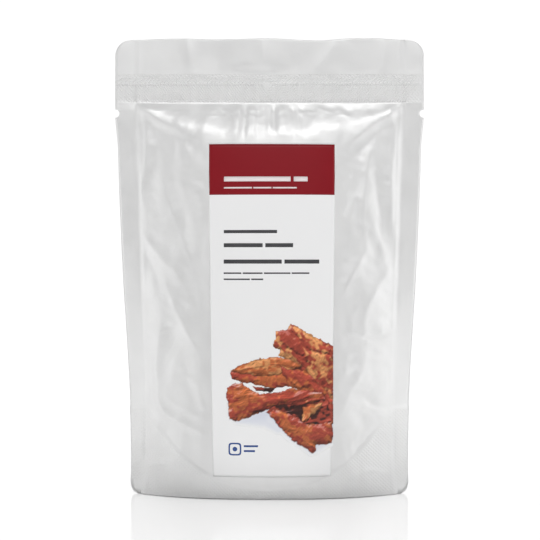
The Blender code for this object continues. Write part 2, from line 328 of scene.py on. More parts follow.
def filmDetail(a, x, z, side):
    seed = 11 if side < 0 else 147
    inBag = ease((1 - np.abs(a)) * 9) * ease((pouch["bagTop"] - z) / 4) * (0.25 + 0.75 * ease((z - 2) / 24))
    inBag = inBag * (z < pouch["bagTop"])
    quiet = 1 - labelMask(x, z, 5) if side < 0 else 1.0
    free = 1 - labelMask(x, z, 2.5) if side < 0 else 1.0
    out = rumple(a, x, z, seed) * inBag * quiet + swell(x, z, side) * ease((1 - np.abs(a)) * 6)
    creases = frontCreases if side < 0 else backCreases
    out = out + creased(x, z, creases) * ease((1 - np.abs(a)) * 14 + 0.15) * free
    header = ease((z - pouch["bandTop"]) / 5) * ease((1 - np.abs(a)) * 6)
    out = out + header * 0.9 * softNoise(x, z * 0.2, 14, seed + 7)
    fromSeal = (1 - np.abs(a)) * 62
    bead = 0.28 * np.exp(-(((fromSeal - 1.1) / 0.9) ** 2))
    groove = 0.12 * np.exp(-(((fromSeal + 0.1) / 0.5) ** 2))
    out = out + bead - groove
    for line in pouch["pressLines"]:
        out = out + 0.08 * np.exp(-(((z - line) / 0.35) ** 2))
    # dents stop short of the film or filling behind: hardly any where plies are sealed together
    gap = headerOpening(a, z)
    room = np.where(np.abs(a) < 1, bagDepth(a, z), 0) * ease((z - sealedHeight(a) - 1) / 8) + gap
    return np.maximum(out, -np.minimum(0.01 + 0.6 * room, 0.2 + 1.1 * ease((z - 22) / 30)))


def filmPoint(a, z, side):
    p = formPoint(a, z, side)
    n = formNormal(a, z, side)
    x = p[..., 0]
    out = pliesOut(a, z) * pouch["ply"] + pouch["film"] / 2 + filmDetail(a, x, z, side)
    p = p + n * out[..., None]
    # the header's cut edge isn't quite straight, and the seals are a little wavy in depth
    up = ease((z - pouch["bandTop"]) / (pouch["height"] - pouch["bandTop"]))
    p[..., 2] += up * (slack["topLift"] + slack["topEdge"] * softNoise(x, 0 * z, 23, 3))
    p[..., 2] += slack["rimLift"] * np.clip(1 - a**2, 0, None) * np.exp(-z / 2.5)
    inSeal = ease((np.abs(a) - 0.98) / 0.3)
    slowWave = 0.8 * softNoise(z, np.sign(a) * 7 + 0 * z, 24, 9)
    p[..., 1] += inSeal * (slowWave + 0.25 * softNoise(z, np.sign(a) * 3 + 0 * z, 8, 10))
    band = ease((z - 186) / 6)
    p[..., 1] += band * (0.7 * softNoise(x, 0 * z, 38, 12) + 0.25 * softNoise(x, 0 * z, 12, 13))
    return p


# ---- meshes
def linked(name, data):
    made = bpy.data.objects.new(name, data)
    bpy.context.scene.collection.objects.link(made)
    return made


def gridPiece(name, points, flip=False):
    # points is rows by columns by 3, in millimetres
    rows, columns = points.shape[:2]
    index = np.arange(rows * columns).reshape(rows, columns)
    corners = [index[:-1, :-1], index[:-1, 1:], index[1:, 1:], index[1:, :-1]]
    if flip:
        corners.reverse()
    faces = np.stack(corners, -1).reshape(-1, 4)
    mesh = bpy.data.meshes.new(name)
    mesh.from_pydata((points.reshape(-1, 3) * mm).tolist(), [], faces.tolist())
    mesh.shade_smooth()
    return linked(name, mesh)


def thicken(piece, thickness):
    solidify = piece.modifiers.new("thickness", "SOLIDIFY")
    solidify.thickness = thickness * mm
    solidify.offset = -1


def spans(*stretches):
    values = [np.array([stretches[0][0]])]
    for start, end, step in stretches:
        count = max(round((end - start) / step), 1)
        values.append(np.linspace(start, end, count + 1)[1:])
    return np.concatenate(values)


def filmRows():
    notch, radius = pouch["notchHeight"], pouch["notchRadius"]
    return spans(
        (0, 46, 0.62),
        (46, notch - radius, 1.1),
        (notch - radius, notch + radius, 0.2),
        (notch + radius, pouch["bagTop"], 0.6),
        (pouch["bagTop"], pouch["bandTop"], 0.45),
        (pouch["bandTop"], pouch["height"] - pouch["topCorner"], 1.0),
        (pouch["height"] - pouch["topCorner"], pouch["height"], 0.5),
    )


def filmColumns():
    edge = np.linspace(1, 2, 9)[1:]
    return np.concatenate([-edge[::-1], np.linspace(-1, 1, 127), edge])


def buildFilm(name, side, material):
    a, z = np.meshgrid(filmColumns(), filmRows())
    film = gridPiece(name, filmPoint(a, z, side), flip=side > 0)
    pressed = np.where((z < sealedHeight(a) - 0.6) & (z > 1.5), 1.0, 0.0)
    pressed = np.where((z > pouch["bagTop"]) & (z < pouch["bandTop"]), 0.8, pressed)
    film.data.attributes.new("pressed", "FLOAT", "POINT").data.foreach_set("value", pressed.ravel())
    thicken(film, pouch["film"])
    film.data.materials.append(material)
    return film


def gussetPoints():
    columns = filmColumns()[::2]
    legs, arch = 16, 36
    rows = []
    top = sealedHeight(columns)
    lift = pouch["ply"] / 2
    front, back = (formPoint(columns, top, s) + formNormal(columns, top, s) * lift for s in (-1, 1))
    free = pouch["gussetFold"] - top
    span = np.linalg.norm(back - front, axis=-1) / 2
    rise = np.sqrt(np.maximum(8 / math.pi**2 * free**2 - span**2, (pouch["ply"] / 2) ** 2))
    for t in np.linspace(0, 1, legs):
        z = top * t
        rows.append(formPoint(columns, z, -1) + formNormal(columns, z, -1) * pouch["ply"] / 2)
    for angle in np.linspace(0, math.pi, arch)[1:-1]:
        middle = (front + back) / 2 - (back - front) / 2 * math.cos(angle)
        middle[:, 2] += rise * math.sin(angle)
        rows.append(middle)
    for t in np.linspace(1, 0, legs):
        z = top * t
        rows.append(formPoint(columns, z, 1) + formNormal(columns, z, 1) * pouch["ply"] / 2)
    return np.array(rows)


# ---- the label
paperWhite = (0.87, 0.87, 0.87)
label = {
    "top": labelHigh.z / mm - 0.1,
    "foot": labelLow.z / mm + 0.1,
    "topWidth": 61.2,
    "footWidth": 55.6,
    "middle": (labelLow.x + labelHigh.x) / 2 / mm,
    "lift": 0.10,
    "thickness": 0.1,
}


def labelWidth(z):
    share = (z - label["foot"]) / (label["top"] - label["foot"])
    return label["footWidth"] + (label["topWidth"] - label["footWidth"]) * share


def labelPoint(s, z, lift=0.0):
    # s runs -1 to 1 across the label
    s, z = np.broadcast_arrays(np.asarray(s, float), np.asarray(z, float))
    a = (label["middle"] + s * labelWidth(z) / 2) / bagHalf(z)
    p, n = formPoint(a, z, -1), formNormal(a, z, -1)
    blister = 0.10 * (1 + softNoise(p[..., 0] + z * 0.6, z * 0.4, 15, 71)) * ease((1 - np.abs(s)) * 3)
    out = pliesOut(a, z) * pouch["ply"] + pouch["film"] / 2
    out = out + swell(p[..., 0], z, -1) * ease((1 - np.abs(a)) * 6)
    out = out + label["lift"] + label["thickness"] + blister
    return p + n * (out + lift)[..., None]


def buildLabel(material):
    s, z = np.meshgrid(np.linspace(-1, 1, 61), np.linspace(label["foot"], label["top"], 150))
    piece = gridPiece("paperLabel", labelPoint(s, z))
    thicken(piece, label["thickness"])
    piece.data.materials.append(material)
    return piece


def printed(name, quads, lift, material):
    # ink laid on the label: each quad is four (x, height) corners
    corners = np.array(quads, float)
    x, z = corners[..., 0], corners[..., 1]
    share = np.clip((x - label["middle"]) / (labelWidth(z) / 2), -0.992, 0.992)
    points = labelPoint(share, z, lift).reshape(-1, 3)
    mesh = bpy.data.meshes.new(name)
    mesh.from_pydata((points * mm).tolist(), [], np.arange(len(points)).reshape(-1, 4).tolist())
    piece = linked(name, mesh)
    work = bmesh.new()
    work.from_mesh(mesh)
    bmesh.ops.remove_doubles(work, verts=work.verts, dist=0.00001)
    work.to_mesh(mesh)
    work.free()
    mesh.shade_smooth()
    thicken(piece, 0.02)
    mesh.materials.append(material)
    return piece


def block(left, right, low, high, grain=1.5):
    columns = np.linspace(left, right, max(round((right - left) / grain), 1) + 1)
    rows = np.linspace(low, high, max(round((high - low) / grain), 1) + 1)
    return [
        [(x0, z0), (x1, z0), (x1, z1), (x0, z1)]
        for x0, x1 in zip(columns[:-1], columns[1:])
        for z0, z1 in zip(rows[:-1], rows[1:])
    ]


# plain bars stand where words would be printed; each number is a bar's share of its line
dummyLines = {
    "band": [
        {"from": -21.7, "to": 18.2, "foot": 151.3, "size": 2.3, "words": (24, 5)},
        {"from": -21.7, "to": 13.0, "foot": 147.9, "size": 0.7, "words": (14, 9, 12)},
    ],
    "text": [
        {"from": -21.7, "to": 3.6, "foot": 126.5, "size": 1.5, "words": (11,)},
        {"from": -21.7, "to": 11.2, "foot": 119.8, "size": 1.9, "words": (7, 5)},
        {"from": -21.7, "to": 23.6, "foot": 112.0, "size": 1.9, "words": (10, 6)},
        {"from": -21.7, "to": 18.9, "foot": 107.1, "size": 0.7, "words": (8, 9, 12, 8)},
        {"from": -21.7, "to": -3.0, "foot": 104.2, "size": 0.7, "words": (11, 5)},
    ],
    "blue": [
        {"from": -12.0, "to": -5.4, "foot": 25.6, "size": 0.9, "words": (9,)},
        {"from": -12.0, "to": -6.8, "foot": 23.3, "size": 0.9, "words": (7,)},
    ],
}


def bars(lines):
    quads = []
    for line in lines:
        gap = 0.55 * line["size"] + 0.25
        free = line["to"] - line["from"] - gap * (len(line["words"]) - 1)
        place = line["from"]
        for word in line["words"]:
            length = free * word / sum(line["words"])
            quads += block(place, place + length, line["foot"], line["foot"] + line["size"], 3)
            place += length + gap
    return quads


def frameMark(left, low, size, thick):
    # a plain round-cornered frame with a dot in it
    quads = []
    middle = (left + size / 2, low + size / 2)
    angles = np.radians(np.arange(0, 361, 10))
    reach = (np.abs(np.cos(angles)) ** 5 + np.abs(np.sin(angles)) ** 5) ** (-1 / 5)

    def at(i, radius, square=True):
        r = radius * (reach[i] if square else 1)
        return (middle[0] + r * math.cos(angles[i]), middle[1] + r * math.sin(angles[i]))

    for i in range(len(angles) - 1):
        for near, far, square in ((size / 2 - thick, size / 2, True), (0.02, size * 0.18, False)):
            ring = [(i, near), (i, far), (i + 1, far), (i + 1, near)]
            quads.append([at(k, radius, square) for k, radius in ring])
    return quads


# ---- the printed picture: dried slices of bracket mushroom, drawn piece by piece from the back to the front
inks = {
    "bark": (0.42, 0.062, 0.034),
    "rust": (0.58, 0.15, 0.045),
    "tan": (0.76, 0.33, 0.12),
    "dark": (0.05, 0.011, 0.008),
    "sheen": (0.78, 0.52, 0.48),
    "shadow": (0.60, 0.63, 0.74),
}
slices = [
    {"outline": [(-1, 42), (3, 48), (20, 52), (30, 50), (30.5, 36), (19, 35.5), (8, 39)],
     "base": "dark", "patch": "bark", "patches": 0.15, "grain": 10, "round": 2},
    {"outline": [(2, 66), (8, 68), (20, 62), (28, 52), (20, 52), (6, 60)],
     "base": "dark", "patch": "bark", "patches": 0.3, "grain": 10, "round": 2},
    {"outline": [(15.5, 44.5), (26, 46.5), (17.5, 37), (15.5, 38)],
     "base": "tan", "patch": "rust", "patches": 0.3, "grain": 70, "round": 2},
    {
        "outline": [(10, 84), (20.5, 78), (30.5, 72.5), (30.5, 38), (29, 38),
            (27.5, 46.5), (25.5, 51), (21.5, 55.5), (16.5, 63), (13, 65),
                    (8, 67), (4.5, 68.5), (4.5, 71), (2, 73), (3, 80), (8, 81)],
        "base": "bark", "patch": "tan", "patches": 0.40, "grain": -58, "round": 6, "gloss": 0.7,
        "grooves": [[(11, 79), (19, 71), (28, 69)], [(9, 72), (17, 66), (24, 56), (29, 48)]],
    },
    {"outline": [(-18.5, 61.5), (-17.5, 57.5), (-16, 56.5), (-5.5, 54.5), (2.5, 53),
        (9.5, 54), (9, 62), (-3, 60), (-17.5, 61)],
     "base": "bark", "patch": "rust", "patches": 0.12, "grain": -6, "round": 2.5},
    {"outline": [(-18.5, 61.5), (-14, 64), (-5.5, 67), (4, 68), (9.5, 66.5), (15.5, 63.5),
        (7, 60.5), (-3, 58.5), (-17.5, 60.5)],
     "base": "tan", "patch": "rust", "patches": 0.55, "grain": 5, "round": 2, "fibres": 1.0},
    {"outline": [(4.5, 64.5), (8.5, 62), (16.5, 62), (23, 55.5), (27, 51), (25, 48), (9.5, 54), (6.5, 60)],
     "base": "bark", "patch": "rust", "patches": 0.35, "grain": -40, "round": 4},
    {"outline": [(-8, 54.3), (2.5, 53.2), (1.5, 51.5), (-6.5, 51.8)],
     "base": "dark", "patch": "bark", "patches": 0.3, "grain": 0, "round": 1.5},
    {
        "outline": [(-20, 53.5), (-16, 56), (-12, 55.5), (-9, 52.5), (-4.5, 51),
            (1.5, 51), (9.5, 53), (19, 52.5), (26, 50.5), (26.5, 47.5),
                    (14.5, 45), (4.5, 45.5), (-2.5, 42.5), (-10.5, 39.5), (-16, 37.5),
                        (-18.5, 38.5), (-19.5, 43), (-20, 48)],
        "base": "bark", "patch": "rust", "patches": 0.34, "grain": 8, "round": 4.5, "gloss": 1.3,
    },
    {
        "outline": [(-1.5, 42), (1.5, 43), (6.5, 42.5), (12.5, 40), (17.5, 36),
            (22, 36.5), (30, 37.5), (30, 26.5), (22, 26), (22, 23.5),
                    (20, 22.3), (17, 24.5), (11.5, 28.5), (5.5, 34), (2, 38.5)],
        "base": "bark", "patch": "rust", "patches": 0.25, "grain": -38, "round": 4, "gloss": 1.5,
    },
]


def inside(x, z, outline):
    # how far inside an outline, negative outside
    hit = np.zeros(np.shape(x), bool)
    for (ax, az), (bx, bz) in zip(outline, outline[1:] + outline[:1]):
        if az != bz:
            hit ^= ((az > z) != (bz > z)) & (x < (bx - ax) * (z - az) / (bz - az) + ax)
    away, _ = nearPath(x, z, np.array(outline + outline[:1], float))
    return np.where(hit, np.abs(away), -np.abs(away))


def mixed(first, second, share):
    share = share[..., None]
    return np.array(first) * (1 - share) + np.array(second) * share


def paintSlice(colour, cover, x, z, step, piece, seed):
    wander = 0.5 * softNoise(x, z, 2.2, seed) + 0.25 * softNoise(x, z, 0.9, seed + 1)
    depth = inside(x, z, piece["outline"]) + wander
    mask = ease(depth / 0.35 + 0.5)
    lean = math.radians(piece["grain"])
    u, v = x * math.cos(lean) + z * math.sin(lean), z * math.cos(lean) - x * math.sin(lean)
    bend = 1.4 * softNoise(x, z, 5, seed + 2)
    rounding = np.clip(depth / piece["round"], 0, 1)
    relief = piece["round"] * 0.62 * (1 - (1 - rounding) ** 2)
    coarse, fine = ridged(u * 0.40, v + bend, 2.6, seed + 3), ridged(u * 0.6, v + bend, 1.1, seed + 4)
    relief += 0.75 * coarse + 0.30 * fine
    relief += 0.10 * ridged(u, v, 0.55, seed + 5)
    for groove in piece.get("grooves", []):
        away, _ = nearPath(x, z, smoothPath(groove))
        relief -= 1.6 * np.exp(-((away + wander) ** 2) / 0.8)
    upward, rightward = np.gradient(relief, step)
    # lit from above and a little from the left
    light = np.clip(0.88 - 0.36 * upward + 0.14 * rightward, 0.12, 1.55)
    blotch = softNoise(u * 0.5, v + bend, 3.4, seed + 6) * 0.7 + 0.5 * softNoise(u, v, 1.4, seed + 7)
    base = mixed(inks[piece["base"]], inks[piece["patch"]], ease(blotch * 2.2 + piece["patches"]))
    if piece.get("fibres"):
        fibre = ridged(u * 0.12, v + 0.4 * bend, 0.8, seed + 8)
        base = base * (1 - 0.45 * np.clip(-fibre, 0, 1))[..., None]
    hollow = np.clip(-relief * 0.35 + 0.25, 0, 0.8) * (rounding > 0.3)
    shade = base * light[..., None] ** 1.25
    shade = mixed(shade, inks["dark"], hollow)
    rim = np.clip(1 - depth / 0.8, 0, 1) * 0.45
    shade = shade * (1 - rim[..., None])
    glossy = np.clip(softNoise(u * 0.5, v, 2.0, seed + 9) + 0.35, 0, 1) * piece.get("gloss", 0.35)
    gleam = np.clip(light - 1.12, 0, 0.4) / 0.4 * glossy
    shade = mixed(shade, inks["sheen"], 0.75 * gleam)
    return mixed(colour, shade, mask), np.maximum(cover, mask)


def buildPicture(material):
    step = 0.32
    columns, rows = np.arange(-23, 30.4, step), np.arange(19, 86, step)
    x, z = np.meshgrid(columns, rows)
    colour = np.full((*x.shape, 3), paperWhite)
    cover = np.zeros(x.shape)
    for outline, reach, strength in (
        ([(-17, 40), (0, 40), (10, 31), (20, 24), (28, 28), (30, 38), (-17, 45)], 5.0, 0.75),
        ([(-15, 37.5), (-3, 40), (4, 33), (-2, 36)], 3.0, 0.5),
    ):
        soft = ease(inside(x, z, outline) / reach + 0.75) * strength
        colour = mixed(colour, inks["shadow"], soft)
        cover = np.maximum(cover, soft)
    inked = np.zeros(x.shape)
    for i, piece in enumerate(slices):
        colour, inked = paintSlice(colour, inked, x, z, step, piece, 200 + 20 * i)
    cover = np.maximum(cover, inked)
    picture = gridPiece("mushroomPicture", labelPoint((x - label["middle"]) / (labelWidth(z) / 2), z, 0.03))
    data = picture.data.color_attributes.new("ink", "FLOAT_COLOR", "POINT")
    data.data.foreach_set("color", np.dstack([colour, inked]).astype(np.float32).ravel())
    # what no ink covers is cut away
    bare = (cover < 0.02).ravel()
    work = bmesh.new()
    work.from_mesh(picture.data)
    work.verts.ensure_lookup_table()
    bmesh.ops.delete(work, geom=[vert for vert in work.verts if bare[vert.index]], context="VERTS")
    work.to_mesh(picture.data)
    work.free()
    thicken(picture, 0.02)
    picture.data.materials.append(material)
    return picture


# ---- the ground mushroom inside
def buildPowder(material):
    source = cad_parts["powder_fill"]
    work = bmesh.new()
    work.from_mesh(source.data)
    work.transform(source.matrix_world)
    bmesh.ops.remove_doubles(work, verts=work.verts, dist=0.00002)
    bmesh.ops.subdivide_edges(work, edges=work.edges, cuts=3, use_grid_fill=True)
    work.normal_update()
    moves = []
    for vert in work.verts:
        x, z = vert.co.x / mm, vert.co.z / mm
        onTop = max(vert.normal.z, 0) * (z > 120)
        y = vert.co.y / mm
        lumps = float(softNoise(x, y, 6, 301)) * 1.4 + float(softNoise(x, y, 2.4, 302)) * 0.6
        clear = 0.3 + 1.4 * float(ease((z - 22) / 30))  # room for the film's dents, less at the foot
        inset = Vector((-0.05 * vert.co.x, 0, 0)) - vert.normal * clear * mm
        moves.append(vert.co + inset + Vector((0, 0, onTop * (lumps - 1.0) * mm)))
    for vert, place in zip(work.verts, moves):
        vert.co = place
    mesh = bpy.data.meshes.new("powder")
    work.to_mesh(mesh)
    work.free()
    mesh.shade_smooth()
    mesh.materials.append(material)
    return linked("powder", mesh)


# ---- pressed ribs in the top seal, laid on the film by geometry nodes
ribFields = [
    {"name": "lowRibsLeft", "middle": (-35.0, 194.9), "span": (72.4, 8.6),
     "pitch": 1.25, "slant": -35.0, "width": 0.42, "relief": 0.10},
    {"name": "lowRibsRight", "middle": (35.0, 194.9), "span": (72.4, 8.6),
     "pitch": 1.25, "slant": 35.0, "width": 0.42, "relief": 0.10},
    {"name": "highRibs", "middle": (0, 201.0), "span": (145.4, 2.2),
     "pitch": 1.9, "slant": 50, "width": 0.5, "relief": 0.13},
    {"name": "highRibsCrossed", "middle": (0, 203.4), "span": (145.4, 1.3),
     "pitch": 1.9, "slant": -50, "width": 0.5, "relief": 0.11},
]


def ribTree():
    tree = bpy.data.node_groups.new("pressedRibs", "GeometryNodeTree")
    face = tree.interface
    sockets = [
        ("Target", "NodeSocketObject"), ("Middle", "NodeSocketVector"),
        ("Span", "NodeSocketFloat"), ("Pitch", "NodeSocketFloat"),
        ("Rib Size", "NodeSocketVector"), ("Slant", "NodeSocketFloat"),
        ("Facing", "NodeSocketFloat"), ("Wander", "NodeSocketFloat"),
        ("Seed", "NodeSocketInt"), ("Material", "NodeSocketMaterial"),
    ]
    for name, kind in sockets:
        face.new_socket(name, in_out="INPUT", socket_type=kind)
    face.new_socket("Geometry", in_out="OUTPUT", socket_type="NodeSocketGeometry")
    nodes, links = tree.nodes, tree.links

    def node(kind, **settings):
        made = nodes.new(kind)
        for key, value in settings.items():
            setattr(made, key, value)
        return made

    def wire(source, target):
        links.new(source, target)

    given = node("NodeGroupInput").outputs
    count = node("ShaderNodeMath", operation="DIVIDE")
    wire(given["Span"], count.inputs[0])
    wire(given["Pitch"], count.inputs[1])
    half = node("ShaderNodeMath", operation="MULTIPLY")
    half.inputs[1].default_value = -0.5
    wire(given["Span"], half.inputs[0])
    start = node("ShaderNodeCombineXYZ")
    wire(half.outputs[0], start.inputs[0])
    stride = node("ShaderNodeCombineXYZ")
    wire(given["Pitch"], stride.inputs[0])
    line = node("GeometryNodeMeshLine")
    wire(count.outputs[0], line.inputs["Count"])
    wire(start.outputs[0], line.inputs["Start Location"])
    wire(stride.outputs[0], line.inputs["Offset"])
    rib = node("GeometryNodeMeshCube")
    wire(given["Rib Size"], rib.inputs["Size"])
    rib.inputs["Vertices Z"].default_value = 6
    angle = node("ShaderNodeCombineXYZ")
    wire(given["Slant"], angle.inputs[1])
    vary = node("FunctionNodeRandomValue", data_type="FLOAT")
    vary.inputs["Min"].default_value = 0.8
    vary.inputs["Max"].default_value = 1.15
    wire(given["Seed"], vary.inputs["Seed"])
    placed = node("GeometryNodeInstanceOnPoints")
    wire(line.outputs["Mesh"], placed.inputs["Points"])
    wire(rib.outputs["Mesh"], placed.inputs["Instance"])
    wire(angle.outputs[0], placed.inputs["Rotation"])
    wide = node("ShaderNodeCombineXYZ")
    wide.inputs[1].default_value = 1
    wide.inputs[2].default_value = 1
    wire(next(o for o in vary.outputs if o.enabled), wide.inputs[0])
    wire(wide.outputs[0], placed.inputs["Scale"])
    real = node("GeometryNodeRealizeInstances")
    wire(placed.outputs[0], real.inputs[0])
    # drop every corner onto the film, keeping its own height above it
    here = node("GeometryNodeInputPosition")
    parts = node("ShaderNodeSeparateXYZ")
    wire(here.outputs[0], parts.inputs[0])
    noise = node("ShaderNodeTexNoise")
    noise.inputs["Scale"].default_value = 160
    wire(here.outputs[0], noise.inputs["Vector"])
    centred = node("ShaderNodeMath", operation="SUBTRACT")
    centred.inputs[1].default_value = 0.5
    wire(noise.outputs[0], centred.inputs[0])
    stray = node("ShaderNodeMath", operation="MULTIPLY")
    wire(centred.outputs[0], stray.inputs[0])
    wire(given["Wander"], stray.inputs[1])
    flat = node("ShaderNodeCombineXYZ")
    wire(parts.outputs[0], flat.inputs[0])
    wire(parts.outputs[2], flat.inputs[2])
    moved = node("ShaderNodeVectorMath", operation="ADD")
    wire(flat.outputs[0], moved.inputs[0])
    wire(given["Middle"], moved.inputs[1])
    strayed = node("ShaderNodeCombineXYZ")
    wire(stray.outputs[0], strayed.inputs[2])
    eye = node("ShaderNodeVectorMath", operation="ADD")
    wire(moved.outputs[0], eye.inputs[0])
    wire(strayed.outputs[0], eye.inputs[1])
    inward = node("ShaderNodeMath", operation="MULTIPLY")
    inward.inputs[1].default_value = -1
    wire(given["Facing"], inward.inputs[0])
    ray = node("ShaderNodeCombineXYZ")
    wire(inward.outputs[0], ray.inputs[1])
    target = node("GeometryNodeObjectInfo")
    wire(given["Target"], target.inputs[0])
    cast = node("GeometryNodeRaycast")
    wire(target.outputs["Geometry"], cast.inputs["Target Geometry"])
    wire(eye.outputs[0], cast.inputs["Source Position"])
    wire(ray.outputs[0], cast.inputs["Ray Direction"])
    cast.inputs["Ray Length"].default_value = 0.2
    proud = node("ShaderNodeMath", operation="MULTIPLY")
    wire(parts.outputs[1], proud.inputs[0])
    wire(given["Facing"], proud.inputs[1])
    lift = node("ShaderNodeCombineXYZ")
    wire(proud.outputs[0], lift.inputs[1])
    landed = node("ShaderNodeVectorMath", operation="ADD")
    wire(cast.outputs["Hit Position"], landed.inputs[0])
    wire(lift.outputs[0], landed.inputs[1])
    put = node("GeometryNodeSetPosition")
    wire(real.outputs[0], put.inputs["Geometry"])
    wire(landed.outputs[0], put.inputs["Position"])
    coat = node("GeometryNodeSetMaterial")
    wire(put.outputs[0], coat.inputs["Geometry"])
    wire(given["Material"], coat.inputs["Material"])
    wire(coat.outputs[0], node("NodeGroupOutput").inputs[0])
    return tree


def buildRibs(field, film, side, tree, material):
    name = field["name"] + ("Front" if side < 0 else "Back")
    holder = linked(name + "Source", bpy.data.meshes.new(name))
    modifier = holder.modifiers.new("ribs", "NODES")
    modifier.node_group = tree
    slant = math.radians(field["slant"])
    x, z = field["middle"]
    wide, tall = field["span"]
    given = {
        "Target": film,
        "Middle": (x * mm, side * 60 * mm, z * mm),
        "Span": wide * mm,
        "Pitch": field["pitch"] * mm,
        "Rib Size": (field["width"] * mm, field["relief"] * 2 * mm, tall / math.cos(slant) * mm),
        "Slant": slant,
        "Facing": float(side),
        "Wander": 0.0006,
        "Seed": 4,
        "Material": material,
    }
    for item in tree.interface.items_tree:
        if item.name in given and item.in_out == "INPUT":
            modifier[item.identifier] = given[item.name]
    mesh = bpy.data.meshes.new_from_object(holder.evaluated_get(bpy.context.evaluated_depsgraph_get()))
    bpy.data.objects.remove(holder)
    mesh.name = name
    work = bmesh.new()
    work.from_mesh(mesh)
    bmesh.ops.recalc_face_normals(work, faces=work.faces)
    work.to_mesh(mesh)
    work.free()
    mesh.shade_smooth()
    return linked(name, mesh)


# ---- materials
def newMaterial(name, colour, roughness, coat=0.0, coatRoughness=0.2):
    material = bpy.data.materials.new(name)
    material.use_nodes = True
    shader = material.node_tree.nodes["Principled BSDF"]
    shader.inputs["Base Color"].default_value = (*colour, 1)
    shader.inputs["Roughness"].default_value = roughness
    shader.inputs["Coat Weight"].default_value = coat
    shader.inputs["Coat Roughness"].default_value = coatRoughness
    return material, shader


def addNode(material, kind, **settings):
    made = material.node_tree.nodes.new(kind)
    for key, value in settings.items():
        setattr(made, key, value)
    return made


def noiseOn(material, scale, detail=3.0, stretch=None):
    # noise in the piece's own space
    links = material.node_tree.links
    place = addNode(material, "ShaderNodeTexCoord").outputs["Object"]
    if stretch:
        mapping = addNode(material, "ShaderNodeMapping")
        mapping.inputs["Scale"].default_value = stretch
        links.new(place, mapping.inputs["Vector"])
        place = mapping.outputs[0]
    noise = addNode(material, "ShaderNodeTexNoise")
    noise.inputs["Scale"].default_value = scale
    noise.inputs["Detail"].default_value = detail
    links.new(place, noise.inputs["Vector"])
    return noise.outputs[0]


def rangeOf(material, value, low, high):
    remap = addNode(material, "ShaderNodeMapRange")
    remap.inputs["To Min"].default_value = low
    remap.inputs["To Max"].default_value = high
    remap.inputs["From Min"].default_value = 0.3
    remap.inputs["From Max"].default_value = 0.7
    material.node_tree.links.new(value, remap.inputs[0])
    return remap.outputs[0]


def tinted(material, value, first, second):
    mix = addNode(material, "ShaderNodeMix", data_type="RGBA")
    colours = [socket for socket in mix.inputs if socket.type == "RGBA"]
    colours[0].default_value = (*first, 1)
    colours[1].default_value = (*second, 1)
    material.node_tree.links.new(value, mix.inputs[0])
    return next(socket for socket in mix.outputs if socket.type == "RGBA")


def bumped(material, height, distance, strength=1.0, after=None):
    bump = addNode(material, "ShaderNodeBump")
    bump.inputs["Strength"].default_value = strength
    bump.inputs["Distance"].default_value = distance
    material.node_tree.links.new(height, bump.inputs["Height"])
    if after:
        material.node_tree.links.new(after, bump.inputs["Normal"])
    return bump.outputs[0]


def filmMaterial():
    material, shader = newMaterial("whiteFoilFilm", (0.84, 0.84, 0.84), 0.32)
    shader.inputs["Metallic"].default_value = 0.44
    links = material.node_tree.links
    white = tinted(material, noiseOn(material, 45), (0.825, 0.825, 0.825), (0.855, 0.855, 0.85))
    links.new(white, shader.inputs["Base Color"])
    links.new(rangeOf(material, noiseOn(material, 110), 0.38, 0.48), shader.inputs["Roughness"])
    # the bars press a crossed pattern into the sealed plies
    place = addNode(material, "ShaderNodeTexCoord").outputs["Object"]
    waves = []
    for direction in ((3600, 0, 3600), (-3600, 0, 3600)):
        along = addNode(material, "ShaderNodeVectorMath", operation="DOT_PRODUCT")
        along.inputs[1].default_value = direction
        links.new(place, along.inputs[0])
        wave = addNode(material, "ShaderNodeMath", operation="SINE")
        links.new(along.outputs["Value"], wave.inputs[0])
        waves.append(wave.outputs[0])
    crossed = addNode(material, "ShaderNodeMath", operation="MAXIMUM")
    links.new(waves[0], crossed.inputs[0])
    links.new(waves[1], crossed.inputs[1])
    pressed = addNode(material, "ShaderNodeAttribute", attribute_name="pressed")
    pattern = addNode(material, "ShaderNodeMath", operation="MULTIPLY")
    links.new(crossed.outputs[0], pattern.inputs[0])
    links.new(pressed.outputs["Fac"], pattern.inputs[1])
    normal = bumped(material, pattern.outputs[0], 0.00005, 0.8)
    normal = bumped(material, noiseOn(material, 260, 4), 0.00012, 0.35, normal)
    normal = bumped(material, noiseOn(material, 70, 2), 0.0009, 0.30, normal)
    normal = bumped(material, noiseOn(material, 30, 2, (1.5, 1, 0.6)), 0.003, 0.30, normal)
    links.new(normal, shader.inputs["Normal"])
    return material


def paperMaterial():
    material, shader = newMaterial("labelPaper", paperWhite, 0.40)
    links = material.node_tree.links
    white = tinted(material, noiseOn(material, 60), (0.855, 0.855, 0.86), paperWhite)
    links.new(white, shader.inputs["Base Color"])
    links.new(rangeOf(material, noiseOn(material, 300), 0.36, 0.46), shader.inputs["Roughness"])
    normal = bumped(material, noiseOn(material, 2200, 2), 0.00002, 0.5)
    normal = bumped(material, noiseOn(material, 30, 1, (1.4, 1, 0.6)), 0.004, 0.40, normal)
    links.new(normal, shader.inputs["Normal"])
    return material


def inkMaterial(name, colour, shade, roughness=0.36):
    material, shader = newMaterial(name, colour, roughness)
    shader.inputs["Specular IOR Level"].default_value = 0.25
    links = material.node_tree.links
    links.new(tinted(material, noiseOn(material, 150, 4), shade, colour), shader.inputs["Base Color"])
    rough = rangeOf(material, noiseOn(material, 420), roughness - 0.04, roughness + 0.06)
    links.new(rough, shader.inputs["Roughness"])
    links.new(bumped(material, noiseOn(material, 2200, 2), 0.00002, 0.4), shader.inputs["Normal"])
    return material


